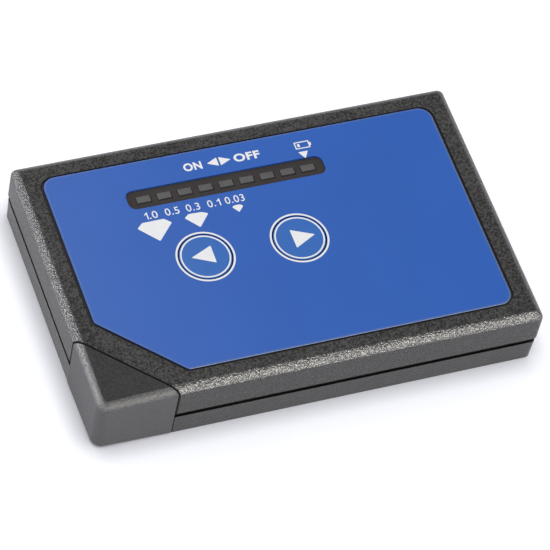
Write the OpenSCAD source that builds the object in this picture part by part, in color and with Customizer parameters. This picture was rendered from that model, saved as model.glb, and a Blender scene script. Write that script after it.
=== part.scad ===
// Card-shaped gem tester. A two-part case carries a pull-off corner cap over a sprung probe, two press
// keys, a row of indicator lights and a battery door that slides out of the right end.
// Millimetres. The case lies on its back: +Z is up, +X along its length, and the probe is front left.

/* [Case] */
// Length of the case
body_l = 100; // [96:1:130]
// Width of the case
body_w = 63.5; // [62:0.5:80]
// Height of the case, from back to face
body_h = 16; // [15.5:0.5:20]
// Radius of the upright corners
corner_r = 2.4; // [1.6:0.1:4]
// Radius round the edge of the face, up to the corner radius
face_edge_r = 2.1; // [0.8:0.1:3]
// Radius round the edge of the back, up to the corner radius
back_edge_r = 0.4; // [0.3:0.1:2]
// Thickness of the side walls
wall = 1.8; // [1.5:0.1:2.2]
// Thickness of the face, with the label's recess
roof = 2; // [1.4:0.1:2.6]
// Thickness of the back
floor_t = 1.8; // [1.5:0.1:2.4]
// Height of the middle of the parting line, which is the probe's height too
parting_z = 6.6; // [6.2:0.1:7.6]
// Height of the open shadow line between the two shells
shadow_gap = 1.5; // [0.2:0.1:1.6]
// How far the sides of the back shell stand in from those of the front shell
back_inset = 0.2; // [0.1:0.05:0.3]
// Thickness of the tongue that lines up the shells
tongue_t = 0.8; // [0.5:0.1:1]
// Height of the tongue above the shadow line
tongue_h = 1.2; // [0.6:0.1:2]

/* [Corner cap] */
// Length of the cap along each wall
cap_leg = 18; // [17:0.5:22]
// Thickness of the cap's walls
cap_wall = 1.5; // [1.1:0.1:2]
// Radius round the edge of the cap's back, up to the corner radius
cap_edge_r = 0.5; // [0.3:0.1:2]
// Width of the seam between cap and case
seam_gap = 0.3; // [0.2:0.05:0.6]
// Depth of the small chamfer along the cap's mouth
mouth_chamfer = 0.3; // [0.1:0.05:0.4]
// Length of the collar that the cap slides over
collar_l = 4; // [2.5:0.5:5]
// Clearance between collar and cap
cap_clear = 0.2; // [0.15:0.05:0.4]

/* [Probe] */
// Radius of the nose in the collar
nose_r = 3; // [2.6:0.1:3.6]
// Length of the nose's cone
nose_l = 3.4; // [2.6:0.1:4]
// Radius of the nose's front end
nose_front_r = 1.4; // [1.1:0.1:2]
// Length of the guide hole at the front of the nose
nose_guide_l = 3; // [2.4:0.1:3.6]
// Radius of the flange that holds the nose
nose_flange_r = 4.2; // [3.8:0.1:5]
// Thickness of that flange
nose_flange_t = 1.2; // [0.8:0.1:2]
// Radius of the copper tip
tip_r = 0.7; // [0.5:0.05:0.9]
// Radius of the tip's rounded point
tip_point_r = 0.3; // [0.15:0.05:0.45]
// Length of the tip's taper
tip_taper_l = 1.2; // [0.6:0.1:1.8]
// Reach of the tip past the nose
tip_reach = 2; // [1.6:0.1:2.4]
// Travel of the tip when it is pressed on a stone
tip_travel = 1.5; // [0.8:0.1:1.5]
// Length of the tip's shoulder
tip_shoulder_l = 1.6; // [1:0.1:2]
// Outer radius of the brass sleeve
sleeve_r = 2; // [1.8:0.1:2.3]
// Wall of the sleeve
sleeve_wall = 0.35; // [0.25:0.05:0.5]
// Radius of the spring wire
probe_wire_r = 0.2; // [0.15:0.05:0.25]
// Turns of the probe spring
probe_turns = 6; // [4:1:7]
// Length of the probe spring at rest
probe_spring_l = 7.4; // [7:0.1:9]
// Length of the plug behind the spring
plug_l = 3; // [2:0.5:5]
// Thickness of the plug's end flange
plug_flange_t = 1; // [0.6:0.1:1.6]
// Thickness of the rib behind the nose
probe_rib_t = 1.2; // [0.8:0.1:2]
// Width of that rib
probe_rib_w = 13; // [10:0.5:15]

/* [Front label] */
// Margin of the label at the two ends of the face
label_margin = 5.1; // [4:0.1:7]
// Margin of the label along the front and the back of the face
label_side = 4.7; // [4:0.1:7]
// Margin of the label inside the seam
label_cut = 5.4; // [4:0.1:7]
// Thickness of the label and depth of its recess
label_t = 0.5; // [0.3:0.1:0.8]
// Gap between the label and the wall of its recess
label_gap = 0.25; // [0.1:0.05:0.4]
// Radius of the label's square corners
label_r = 3; // [1:0.1:5]
// Radius of the label's two corners at the cut
label_cut_r = 1; // [0.4:0.1:3]

/* [Lights] */
// Middle of the lights and keys along the case, from the case's middle
panel_x = -5.75; // [-8:0.25:-4]
// Middle of the row of lights, from the middle line
light_y = 17.15; // [16:0.1:18]
// Number of lights
light_count = 9; // [5:1:9]
// Spacing of the lights
light_pitch = 4.7; // [4:0.1:4.8]
// Length of each light's window
window_l = 3.2; // [2:0.1:3.4]
// Width of each light's window
window_w = 1.7; // [1:0.1:2.4]
// Length of the slot in the label
slot_l = 45; // [42:0.5:47]
// Width of the slot in the label
slot_w = 4.7; // [3.6:0.1:5.5]
// Radius of the slot's corners
slot_r = 1.7; // [0.5:0.1:1.8]
// Thickness of the bar that joins the light posts
pipe_bar_t = 1.6; // [1:0.1:2]
// Width of that bar
pipe_bar_w = 3.8; // [3:0.1:5]
// Height of each light chip
led_h = 1.1; // [0.6:0.1:1.4]
// How far a light post stands proud of the slot's floor
post_proud = 0.1; // [0:0.05:0.3]
// Clearance round a light post
post_gap = 0.1; // [0.05:0.05:0.2]

/* [Keys] */
// Distance between the two keys
key_spacing = 21.3; // [18:0.1:22]
// Middle of the keys, from the middle line
key_y = -0.4; // [-2:0.1:1]
// Radius of a key
key_r = 5.7; // [4.5:0.1:6]
// Gap between a key and the hole round it
key_gap = 0.3; // [0.15:0.05:0.5]
// How far a key's flange reaches past the key
key_flange = 1; // [0.6:0.1:1.4]
// Thickness of the flange
key_flange_t = 0.7; // [0.5:0.1:1]
// Thickness of a key's wall
key_wall = 1; // [0.7:0.1:1.4]
// Radius of the post that meets the switch
key_post_r = 2.2; // [1.8:0.1:2.8]
// Travel of a key
key_travel = 0.3; // [0.2:0.05:0.5]
// Width of the rib that stops a key turning
key_rib_w = 1.2; // [0.8:0.1:2]
// Gap between a resting key's flange and the face above it
key_stop_gap = 0.1; // [0.05:0.05:0.2]

/* [Switches] */
// Width of a switch
switch_w = 6; // [5:0.1:6.6]
// Height of a switch's housing
switch_body_h = 3.4; // [2.8:0.1:3.7]
// Height of a switch from the board to the top of its stem
switch_h = 4.3; // [4.2:0.1:4.6]
// Radius of a switch's stem
stem_r = 1.75; // [1.2:0.05:2]
// Depth of a stem inside its switch
stem_depth = 0.8; // [0.4:0.1:1.4]
// Clearance round a stem
stem_gap = 0.15; // [0.1:0.05:0.3]

/* [Circuit board] */
// Thickness of the board
board_t = 1.6; // [0.8:0.1:1.6]
// Distance of the board from the case's left end
board_left_in = 6; // [5:0.5:9]
// Distance of the board from the front and back of the case
board_side_in = 8; // [7:0.5:9]
// Distance of the board's cut corner inward of the seam
board_cut = 14; // [12.5:0.5:18]
// Gap between the board and the wall of the battery bay
board_gap = 0.4; // [0.2:0.1:1]
// Distance of the board's screws from its edges
board_screw_in = 4.5; // [3.5:0.5:6]
// Radius of the posts that carry the board
board_post_r = 2.1; // [1.8:0.1:2.4]
// Radius of the board's screws
board_screw_r = 0.9; // [0.7:0.1:1]
// Radius of the heads of the board's screws
board_head_r = 1.7; // [1.4:0.1:2]
// Height of those heads
board_head_h = 1.1; // [0.8:0.1:1.5]
// How far the board's screws reach into their posts
board_screw_l = 3.6; // [2:0.2:4.4]
// Length of the control chip
chip_l = 9.9; // [6:0.1:11]
// Width of the control chip
chip_w = 3.9; // [3.4:0.1:5]
// Height of the control chip
chip_h = 1.5; // [1:0.1:2]
// Pins along each side of the chip
chip_pins = 8; // [4:1:8]
// Radius of the buzzer
buzzer_r = 6; // [4.5:0.5:6.5]
// Gap between the buzzer and the back
buzzer_gap = 1.3; // [0.5:0.1:2]
// Radius of the buzzer's sound hole
buzzer_hole_r = 1; // [0.6:0.1:1.6]

/* [Battery] */
// Radius of a cell
cell_r = 5.25; // [5:0.05:5.3]
// Length of a cell, with its positive end
cell_l = 44.5; // [43.3:0.1:44.5]
// Radius of a cell's positive end
cell_nub_r = 1.9; // [1.5:0.1:2.4]
// Length of a cell's positive end
cell_nub_l = 0.8; // [0.6:0.1:1.4]
// Gap between the two cells
cell_gap = 1; // [0.5:0.1:2]
// Gap between a cell and the bay's wall, and between a cell and the case's end wall
cell_clear = 0.3; // [0.2:0.05:0.8]
// Thickness of the bay's walls
bay_wall = 1.4; // [1.2:0.1:1.6]
// Gap between the bay's walls and the face, where the leads pass
bay_wall_gap = 3; // [2.5:0.1:4]
// Thickness of the contact plates
contact_t = 0.4; // [0.3:0.05:0.5]
// Width of a single contact plate
contact_w = 7; // [5:0.5:8]
// Length of a contact spring in use
contact_spring_l = 3; // [2.6:0.1:3]
// Turns of a contact spring
contact_turns = 3; // [2:1:3]
// Radius of a contact spring at its plate
contact_spring_r = 3.2; // [2.6:0.1:3.4]
// Radius of a contact spring at its cell
contact_spring_end_r = 1.9; // [1.6:0.1:2.4]
// Radius of a contact spring's wire
contact_wire_r = 0.25; // [0.2:0.05:0.3]
// Height of the ledge that the door slides on
door_ledge = 0.8; // [0.6:0.1:1]
// Reach of the door's tongues under the bay's walls
door_tongue = 0.6; // [0.4:0.1:0.8]
// Clearance round the door
door_gap = 0.15; // [0.1:0.05:0.3]
// Height of the door's end lip
door_lip_h = 4; // [3:0.1:4.4]
// Number of grip grooves in the door
grip_count = 5; // [3:1:7]
// Spacing of the grip grooves
grip_pitch = 1.6; // [1.2:0.1:2]
// Length of the grip grooves
grip_l = 14; // [8:1:20]
// Radius of the grip grooves
grip_r = 0.5; // [0.3:0.05:0.6]

/* [Screws and leads] */
// Radius of the case screws
screw_r = 1.1; // [0.9:0.05:1.2]
// Length of the case screws under their heads
screw_l = 8.4; // [6:0.2:9]
// Radius of the case screws' heads
screw_head_r = 1.8; // [1.5:0.1:1.9]
// Height of those heads
screw_head_h = 1.4; // [1:0.1:1.6]
// Radius of the posts that take the case screws
post_r = 2.3; // [2.1:0.1:2.4]
// Radius of the pillars round the case screws' heads
pillar_r = 2.9; // [2.7:0.1:3]
// Height where a post meets its pillar
post_foot_z = 5; // [4:0.2:5.6]
// Height of the seat of a case screw's head
screw_seat_z = 2.6; // [2.2:0.1:3]
// Distance of the front left screws from the seam, along the walls
screw_from_seam = 7; // [6:0.5:10]
// Distance of the two middle screws from the bay's wall
screw_from_bay = 8.5; // [6:0.5:12]
// Width of the cross slot in a screw
cross_w = 0.5; // [0.3:0.1:0.7]
// Depth of the cross slot
cross_depth = 0.6; // [0.4:0.1:0.8]
// Radius of the inner leads
lead_r = 0.5; // [0.4:0.05:0.5]
// Clearance between pieces that seat in each other
fit = 0.1; // [0.05:0.05:0.15]

/* [Hidden] */
$fn = 48;

// Colours
case_colour = "#3a3937";
label_colour = "#3f68b8";
light_colour = "#55544f";
board_colour = "#2f6b45";
brass_colour = "#b8974f";
copper_colour = "#b8734a";
steel_colour = "#b9bcc0";
black_colour = "#1f1f20";

// A length that reaches past the case, and a small overlap that joins two shapes
far = body_l + body_w;
join = 0.5;

// Heights, from the face down
recess_z = body_h - label_t;
ceiling_z = body_h - roof;
key_foot_z = ceiling_z - key_stop_gap - key_flange_t;
board_top_z = key_foot_z - switch_h;
board_z = board_top_z - board_t;
skirt_z = parting_z + shadow_gap / 2;
rim_z = parting_z - shadow_gap / 2;
tongue_z = skirt_z + tongue_h;

// Width and drop of the back shell's rim, which slopes in to the foot of the tongue and keeps the line dark
rim_slope = wall - tongue_t - back_inset;

// Keys
on_x = panel_x - key_spacing / 2;
off_x = panel_x + key_spacing / 2;
key_hole_r = key_r + key_gap;
key_flange_r = key_r + key_flange;

// Probe, along its axis inward from the seam
nose_front_a = -collar_l - nose_l;
tip_stop_a = nose_front_a + nose_guide_l;
shoulder_a = tip_stop_a + fit;
spring_a = shoulder_a + tip_shoulder_l;
plug_a = spring_a + probe_spring_l;
rod_end_a = plug_a - tip_travel - fit;
sleeve_end_a = plug_a + plug_l;
plug_end_a = sleeve_end_a + plug_flange_t;
flange_a = wall + fit;
rib_a = flange_a + nose_flange_t + fit;
tip_hole_r = tip_r + fit;
sleeve_bore_r = sleeve_r - sleeve_wall;
probe_spring_r = (tip_r + sleeve_bore_r) / 2;

// Battery bay
cell_d = 2 * cell_r;
bay_l = cell_l + contact_spring_l + 2 * contact_t + 2 * fit;
bay_x = from_left(body_l - wall - 2 * cell_d - cell_gap - 2 * cell_clear);
cell_x = [bay_x + cell_clear + cell_r, bay_x + cell_clear + cell_r + cell_d + cell_gap];
cell_z = (floor_t + ceiling_z) / 2;
bay_wall_z = ceiling_z - bay_wall_gap;
door_w = bay_l + 2 * door_tongue;

// Board
board_left = from_left(board_left_in);
board_right = bay_x - bay_wall - board_gap;
board_front = from_front(board_side_in);
board_back = -board_front;
board_screws_at = [
    [board_left + board_screw_in, board_back - board_screw_in],
    [board_right - board_screw_in, key_y + key_flange_r],
    [board_right - board_screw_in, board_front + board_screw_in],
    [on_x + key_flange_r, board_front + board_screw_in]
];

// Buzzer, from the board down
buzzer_h = board_z - floor_t - buzzer_gap;

// Chip and the small resistors beside it
chip_y = (board_front + key_y) / 2;
resistor_l = 2;
resistor_w = 1.25;
resistor_h = 0.6;
resistor_pitch = 2.6;

// Case screws: the back left corner, beside both ends of the bay, and one each side of the cut corner
screw_in = wall + cap_clear + post_r;
bay_screw_x = bay_x - bay_wall - screw_from_bay;
screws_at = [
    [from_left(screw_in), from_front(body_w - screw_in)],
    [bay_screw_x, from_front(body_w - screw_in)],
    [bay_screw_x, from_front(screw_in)],
    [from_left(cap_leg + screw_from_seam), from_front(screw_in)],
    [from_left(screw_in), from_front(cap_leg + screw_from_seam)]
];

// Share of a screw head's width that its cross slot takes
cross_share = 0.6;

// Leads: facets, the straight length at a bend, the run along the board, and the hand-set route of a
// battery lead past the bay's wall, as x and y offsets and the share of its drop to the board
lead_steps = 4;
lead_sides = 8;
lead_bend = 1;
lead_run = 2.5;
battery_lead_route = [[-0.1, -0.3, 0.1], [-2, -1.5, 0.5], [-3.5, -2.5, 1], [-5, -3, 1]];

// Points measured from the case's left end and from its front
function from_left(x) = x - body_l / 2;
function from_front(y) = y - body_w / 2;

// Where a plane parallel to the seam, a inward of it, meets the front and left edges
function seam_reach(a) = cap_leg + a * sqrt(2);

// Plan of the case inside its walls: inset from the four sides and cut inward of the seam
function plan_points(inset, cut, side = -1) = let (depth = side < 0 ? inset : side) [
    [from_left(seam_reach(cut) - depth), from_front(depth)],
    [from_left(body_l - inset), from_front(depth)],
    [from_left(body_l - inset), from_front(body_w - depth)],
    [from_left(inset), from_front(body_w - depth)],
    [from_left(inset), from_front(seam_reach(cut) - inset)]
];
function label_points(grow) = plan_points(label_margin - grow, label_cut - grow, label_side - grow);
function plan_radii(inset) = let (r = max(corner_r - inset, fit)) [0, r, r, r, 0];

// Plan of the cut corner between two planes parallel to the seam
function corner_points(inset, outer_a, inner_a) = [
    [from_left(seam_reach(outer_a) - inset), from_front(inset)],
    [from_left(seam_reach(inner_a) - inset), from_front(inset)],
    [from_left(inset), from_front(seam_reach(inner_a) - inset)],
    [from_left(inset), from_front(seam_reach(outer_a) - inset)]
];

// Corners of a rounded outline
function unit(v) = v / norm(v);
function next(p, i, step) = p[(i + step + len(p)) % len(p)];
function corner_dirs(p, i) = [unit(next(p, i, -1) - p[i]), unit(next(p, i, 1) - p[i])];
function half_angle(d) = acos(d[0] * d[1]) / 2;
function corner_run(d, r) = [for (v = d) v * r / tan(half_angle(d))];
function corner_centre(d, r) = unit(d[0] + d[1]) * r / sin(half_angle(d));

// Smooth path through hand-set points
function curve_point(p, i, t) = let (
        a = p[max(i - 1, 0)],
        b = p[i],
        c = p[i + 1],
        d = p[min(i + 2, len(p) - 1)]
    ) (2 * b + (c - a) * t + (2 * a - 5 * b + 4 * c - d) * t * t + (3 * b - a - 3 * c + d) * t * t * t) / 2;
function curve(p, steps) = [
    for (i = [0 : len(p) - 2], s = [0 : steps - 1]) curve_point(p, i, s / steps),
    p[len(p) - 1]
];

// Coil along +Z whose radius goes from r0 to r1
coil_rings = 8;
coil_sides = 6;
function coil(r0, r1, l, turns) = [
    for (i = [0 : turns * coil_rings])
        let (t = i / (turns * coil_rings), r = r0 + (r1 - r0) * t)
        [r * cos(360 * turns * t), r * sin(360 * turns * t), l * t]
];

// Least gap between the turns of a coil, measured on its points
function least_gap(p, r) = min([
    for (i = [0 : len(p) - 1], j = [i + coil_rings / 2 : 1 : len(p) - 1]) norm(p[i] - p[j]) - 2 * r
]);

// Convex outline with a radius at each corner
module rounded_outline(points, radii) {
    corners = [for (i = [0 : len(points) - 1]) corner_dirs(points, i)];
    polygon([for (i = [0 : len(points) - 1]) each (radii[i] > 0
        ? [for (run = corner_run(corners[i], radii[i])) points[i] + run]
        : [points[i]])]);
    for (i = [0 : len(points) - 1])
        if (radii[i] > 0)
            translate(points[i] + corner_centre(corners[i], radii[i])) circle(radii[i]);
}

module rounded_rectangle(l, w, r) {
    rounded_outline([[-l / 2, -w / 2], [l / 2, -w / 2], [l / 2, w / 2], [-l / 2, w / 2]], [r, r, r, r]);
}

// Prism of a plan between two heights
module prism(z0, z1) {
    translate([0, 0, z0]) linear_extrude(z1 - z0) children();
}

// Round bar between two heights
module bar(at, r, z0, z1) {
    translate([at[0], at[1], z0]) cylinder(r = r, h = z1 - z0);
}

// Tube along a path, closed at both ends; side is never along the path
module tube(path, r, sides, side) {
    last = len(path) - 1;
    heading = [for (i = [0 : last]) unit(path[min(i + 1, last)] - path[max(i - 1, 0)])];
    across = [for (h = heading) unit(cross(h, side))];
    points = [
        for (i = [0 : last], k = [0 : sides - 1])
            path[i] + r * (cos(360 * k / sides) * across[i]
                + sin(360 * k / sides) * cross(heading[i], across[i]))
    ];
    skin = [
        for (i = [0 : last - 1], k = [0 : sides - 1])
            let (a = i * sides + k, b = i * sides + (k + 1) % sides)
            each [[a, a + sides, b], [b, a + sides, b + sides]]
    ];
    caps = [
        for (k = [1 : sides - 2])
            each [[0, k, k + 1], [last * sides, last * sides + k + 1, last * sides + k]]
    ];
    polyhedron(points, concat(skin, caps));
}

// Probe's frame: local z runs inward from the middle of the seam, local x down and local y across
module probe_frame() {
    translate([from_left(cap_leg / 2), from_front(cap_leg / 2), parting_z])
        rotate([0, 0, 45]) rotate([0, 90, 0]) children();
}

// Everything between two planes parallel to the seam
module seam_slab(a0, a1) {
    probe_frame() translate([-far, -far, a0]) cube([2 * far, 2 * far, a1 - a0]);
}

// Everything between two heights
module level_slab(z0, z1) {
    translate([-far, -far, z0]) cube([2 * far, 2 * far, z1 - z0]);
}

// Section through a run of the case, span wide: round at the face, and by edge_r at the back
module run_section(span, edge_r, inset) {
    face_r = min(face_edge_r, corner_r) - inset;
    back_r = max(min(edge_r, corner_r) - inset, fit);
    low = inset;
    high = body_h - inset;
    half = span / 2;
    rounded_outline(
        [[-half, low], [half, low], [half, high], [-half, high]],
        [back_r, back_r, face_r, face_r]
    );
}

// Form on the plan of the case, from a section of its long run, of its short run and of its corners
module plan_form() {
    run_x = body_l - 2 * corner_r;
    run_y = body_w - 2 * corner_r;
    rotate([90, 0, 90]) translate([0, 0, -run_x / 2]) linear_extrude(run_x) children(0);
    rotate([90, 0, 0]) translate([0, 0, -run_y / 2]) linear_extrude(run_y) children(1);
    for (x = [-run_x / 2, run_x / 2], y = [-run_y / 2, run_y / 2])
        translate([x, y, 0]) rotate_extrude() intersection() {
            children(2);
            square([far, far]);
        }
}

// Whole outer form of the closed tester, or the same form a little inside it
module case_block(edge_r, inset = 0) {
    plan_form() {
        run_section(body_w - 2 * inset, edge_r, inset);
        run_section(body_l - 2 * inset, edge_r, inset);
        run_section(2 * (corner_r - inset), edge_r, inset);
    }
}

// Outer form of the back shell and its door, whose sides stand in a little
module back_block() {
    intersection() {
        case_block(back_edge_r);
        prism(0, far) rounded_rectangle(
            body_l - 2 * back_inset,
            body_w - 2 * back_inset,
            corner_r - back_inset
        );
    }
}

// Room above the sloping rim of the back shell, and its section
module rim_room() {
    plan_form() {
        rim_section(body_w);
        rim_section(body_l);
        rim_section(2 * corner_r);
    }
}

module rim_section(span) {
    half = span / 2 - back_inset;
    foot = max(half - rim_slope, fit);
    foot_z = rim_z - rim_slope;
    polygon([[-foot, foot_z], [foot, foot_z], [half, rim_z], [half, far], [-half, far], [-half, rim_z]]);
}

// Half of the collar under the cap
module collar(z0, z1) {
    lead_in = 2 * mouth_chamfer;
    prism(z0, z1) rounded_outline(
        corner_points(cap_wall + cap_clear, -collar_l, join),
        [lead_in, 0, 0, lead_in]
    );
}

// Rib behind the nose, on one side of the parting line
module probe_rib(down, height) {
    probe_frame() translate([down, -probe_rib_w / 2, rib_a]) cube([height, probe_rib_w, probe_rib_t]);
}

// Room for the nose and the sleeve in the collar, the wall and the rib
module probe_room() {
    probe_frame() {
        translate([0, 0, -collar_l - join]) cylinder(r = nose_r + fit, h = collar_l + wall + 2 * join);
        cylinder(r = sleeve_r + fit, h = rib_a + probe_rib_t + join);
    }
}

// Front half of the case
module front_shell() {
    color(case_colour) difference() {
        union() {
            difference() {
                intersection() {
                    case_block(back_edge_r);
                    level_slab(skirt_z, far);
                    seam_slab(0, far);
                }
                prism(0, ceiling_z) rounded_outline(plan_points(wall, wall), plan_radii(wall));
                let (inset = wall - tongue_t - fit)
                    prism(0, tongue_z) rounded_outline(plan_points(inset, inset), plan_radii(inset));
            }
            collar(parting_z, body_h - cap_wall - cap_clear);
            probe_rib(parting_z - ceiling_z - join, ceiling_z + join - parting_z);
            for (at = screws_at) bar(at, post_r, post_foot_z, ceiling_z + join);
            for (at = board_screws_at) bar(at, board_post_r, board_top_z, ceiling_z + join);
            for (x = [on_x, off_x]) key_rib(x);
        }
        let (r = label_r + label_gap, cut_r = label_cut_r + label_gap)
            prism(recess_z, far) rounded_outline(label_points(label_gap), [cut_r, r, r, r, cut_r]);
        for (x = [on_x, off_x]) bar([x, key_y], key_hole_r, ceiling_z - join, far);
        light_places() prism(ceiling_z - join, far)
            square([window_l + 2 * post_gap, window_w + 2 * post_gap], center = true);
        for (at = screws_at) bar(at, screw_r + fit, post_foot_z - join, screw_seat_z + screw_l + join);
        for (at = board_screws_at)
            bar(at, board_screw_r + fit, board_top_z - join, board_top_z + board_screw_l + join);
        probe_room();
    }
}

// Rib beside a key that its flange's notch slides on
module key_rib(x) {
    inner = key_hole_r + fit;
    translate([x - key_rib_w / 2, key_y + inner, key_foot_z])
        cube([key_rib_w, key_flange_r + key_flange - inner, ceiling_z + join - key_foot_z]);
}

// Places of the lights
module light_places() {
    for (i = [0 : light_count - 1])
        translate([panel_x + (i - (light_count - 1) / 2) * light_pitch, light_y, 0]) children();
}

// Back half of the case, with the battery bay
module back_shell() {
    bay_end = bay_l / 2 + bay_wall;
    wall_x = from_left(body_l - wall);
    color(case_colour) difference() {
        union() {
            intersection() {
                back_block();
                level_slab(0, rim_z);
                seam_slab(0, far);
                difference() {
                    level_slab(0, far);
                    prism(floor_t, far) rounded_outline(plan_points(wall, wall), plan_radii(wall));
                    rim_room();
                }
            }
            intersection() {
                prism(floor_t, rim_z) polygon(plan_points(wall - tongue_t, 0));
                seam_slab(0, wall);
            }
            let (inset = wall - tongue_t) prism(floor_t, tongue_z) difference() {
                rounded_outline(plan_points(inset, inset), plan_radii(inset));
                rounded_outline(plan_points(wall, wall), plan_radii(wall));
            }
            collar(cap_wall + cap_clear, parting_z);
            probe_rib(0, parting_z - floor_t + join);
            for (at = screws_at) bar(at, pillar_r, floor_t - join, post_foot_z);
            difference() {
                translate([bay_x - bay_wall, -bay_end, floor_t - join])
                    cube([wall_x - cap_clear - bay_x + bay_wall, 2 * bay_end, bay_wall_z - floor_t + join]);
                translate([bay_x, -bay_l / 2, 0]) cube([far, bay_l, far]);
                for (at = screws_at) bar(at, post_r + cap_clear, post_foot_z, far);
            }
            for (y = [-bay_end, bay_end - bay_wall])
                translate([wall_x - bay_wall, y, floor_t - join])
                    cube([bay_wall + join, bay_wall, rim_z - floor_t + join]);
        }
        door_room();
        for (at = screws_at) {
            bar(at, screw_head_r + fit, -join, screw_seat_z);
            bar(at, screw_r + fit, 0, far);
        }
        probe_room();
    }
}

// Room for the door in the back: its plate, its two tongues and its end lip
module door_room() {
    translate([bay_x, -bay_l / 2, -join]) cube([far, bay_l, floor_t + join]);
    translate([bay_x, -door_w / 2 - door_gap, door_ledge])
        cube([far, door_w + 2 * door_gap, floor_t - door_ledge]);
    translate([from_left(body_l - wall), -door_w / 2 - door_gap, -join])
        cube([far, door_w + 2 * door_gap, door_lip_h + door_gap + join]);
}

// Battery door: a plate with a tongue along each side, a lip that closes the end, and a grip
module battery_door() {
    end_x = from_left(body_l - wall) + door_gap;
    tongue_top = floor_t - door_gap;
    plate_w = bay_l - 2 * door_gap;
    color(case_colour) difference() {
        intersection() {
            back_block();
            union() {
                translate([bay_x + door_gap, -plate_w / 2, 0]) cube([far, plate_w, tongue_top]);
                translate([bay_x + door_gap, -door_w / 2, door_ledge + door_gap])
                    cube([far, door_w, tongue_top - door_ledge - door_gap]);
                translate([end_x, -door_w / 2, 0]) cube([far, door_w, door_lip_h]);
            }
        }
        for (i = [0 : grip_count - 1])
            translate([bay_x + cell_r + i * grip_pitch, grip_l / 2, 0])
                rotate([90, 0, 0]) cylinder(r = grip_r, h = grip_l);
    }
}

// Corner cap over the probe, with a fine chamfer along its mouth
module probe_cap() {
    reach = cap_leg - cap_wall;
    inner_r = max(corner_r - cap_wall, fit);
    color(case_colour) difference() {
        intersection() {
            case_block(cap_edge_r);
            seam_slab(-far, -seam_gap);
            union() {
                seam_slab(-far, -seam_gap - mouth_chamfer);
                case_block(cap_edge_r, mouth_chamfer);
            }
        }
        prism(cap_wall, body_h - cap_wall) rounded_outline(
            [
                [from_left(cap_wall), from_front(cap_wall)],
                [from_left(reach), from_front(cap_wall)],
                [from_left(cap_wall), from_front(reach)]
            ],
            [inner_r, 0, 0]
        );
    }
}

// Blue label in the recess of the face, open over the lights and round the keys
module front_label() {
    color(label_colour) prism(recess_z, body_h) difference() {
        rounded_outline(
            label_points(0),
            [label_cut_r, label_r, label_r, label_r, label_cut_r]
        );
        translate([panel_x, light_y]) rounded_rectangle(slot_l, slot_w, slot_r);
        for (x = [on_x, off_x]) translate([x, key_y]) circle(key_hole_r);
    }
}

// Smoked comb that leads each light up to its window
module light_pipe() {
    row_l = (light_count - 1) * light_pitch + window_l;
    foot_z = board_top_z + led_h + 2 * fit;
    color(light_colour) {
        translate([panel_x, light_y, 0]) prism(ceiling_z - fit - pipe_bar_t, ceiling_z - fit)
            square([row_l, pipe_bar_w], center = true);
        light_places() prism(foot_z, recess_z + post_proud) square([window_l, window_w], center = true);
    }
}

// Light chips on the board
module indicator_leds() {
    color(light_colour) light_places() prism(board_top_z, board_top_z + led_h)
        square([window_l, window_w], center = true);
}

// Circuit board, cut at the probe's corner
module circuit_board() {
    color(board_colour) prism(board_z, board_top_z) difference() {
        intersection() {
            polygon([[board_left, board_front], [board_right, board_front], [board_right, board_back],
                [board_left, board_back]]);
            polygon(plan_points(0, board_cut));
        }
        for (at = board_screws_at) translate(at) circle(board_screw_r + fit);
    }
}

// Moulded key: a hollow plunger with a post on the switch and a notched flange under the face
module key(x) {
    color(label_colour) translate([x, key_y, 0]) difference() {
        union() {
            bar([0, 0], key_r, key_foot_z, recess_z);
            bar([0, 0], key_flange_r, key_foot_z, key_foot_z + key_flange_t);
        }
        difference() {
            bar([0, 0], key_r - key_wall, key_foot_z - join, recess_z - key_wall);
            bar([0, 0], key_post_r, 0, body_h);
        }
        translate([-key_rib_w / 2 - key_gap, key_hole_r - fit, key_foot_z - join])
            cube([key_rib_w + 2 * key_gap, 2 * key_flange, key_flange_t + 2 * join]);
    }
}

// Disc of label film on a key
module key_face(x) {
    color(label_colour) bar([x, key_y], key_r, recess_z, body_h);
}

// Switch housing under a key, with four feet
module switch(x) {
    foot_w = switch_w / 6;
    foot_t = 2 * fit;
    top_z = board_top_z + switch_body_h;
    color(black_colour) translate([x, key_y, 0]) difference() {
        union() {
            prism(board_top_z, top_z) rounded_rectangle(switch_w, switch_w, foot_w);
            for (y = [-switch_w / 2 - foot_w, 0], side = [-1, 1])
                translate([side * switch_w / 3 - foot_w / 2, y, board_top_z])
                    cube([foot_w, switch_w / 2 + foot_w, foot_t]);
        }
        bar([0, 0], stem_r + stem_gap, top_z - stem_depth - 2 * key_travel, far);
    }
}

module switch_stem(x) {
    color(black_colour) bar([x, key_y], stem_r, board_top_z + switch_body_h - stem_depth, key_foot_z);
}

module on_key() {
    key(on_x);
}

module off_key() {
    key(off_x);
}

module on_key_face() {
    key_face(on_x);
}

module off_key_face() {
    key_face(off_x);
}

module on_switch() {
    switch(on_x);
}

module off_switch() {
    switch(off_x);
}

module on_switch_stem() {
    switch_stem(on_x);
}

module off_switch_stem() {
    switch_stem(off_x);
}

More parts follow.
